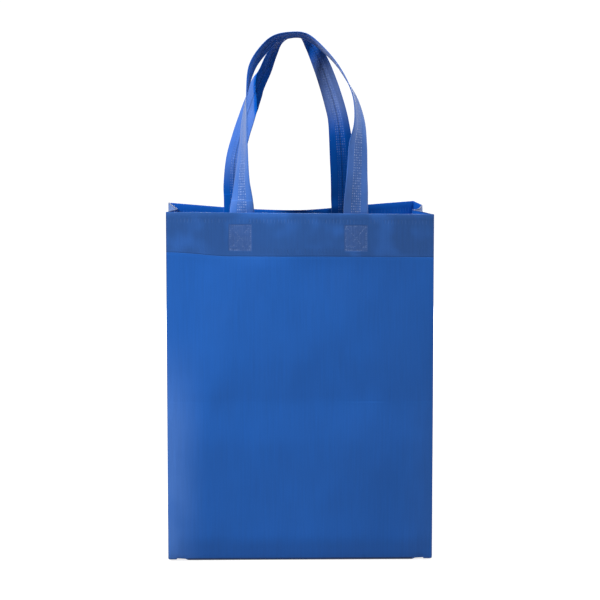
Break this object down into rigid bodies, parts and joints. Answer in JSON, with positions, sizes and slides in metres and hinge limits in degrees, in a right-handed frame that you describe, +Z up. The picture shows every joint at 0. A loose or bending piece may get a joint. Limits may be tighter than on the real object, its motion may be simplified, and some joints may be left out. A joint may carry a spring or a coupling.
{
  "type": "non-woven shopping bag",
  "caption": "Flat-bottomed shopping bag of welded non-woven cloth with tucked side gussets, a deep folded hem and strap handles held up in a loop.",
  "frame": {"origin": "middle of the flat bottom panel, on the surface that the bag stands on", "axes": "+Z up towards the handles, -Y out of the front panel, +X to the right seen from the front"},
  "size_m": [0.2714, 0.0937, 0.5417],
  "materials": {
    "body_cloth": "matt spun-bonded non-woven cloth",
    "strap_cloth": "matt non-woven cloth, folded and spot welded"
  },
  "bodies": {
    "root": {"bag_body": "body_cloth", "front_handle": "strap_cloth", "back_handle": "strap_cloth"}
  },
  "joints": []
}
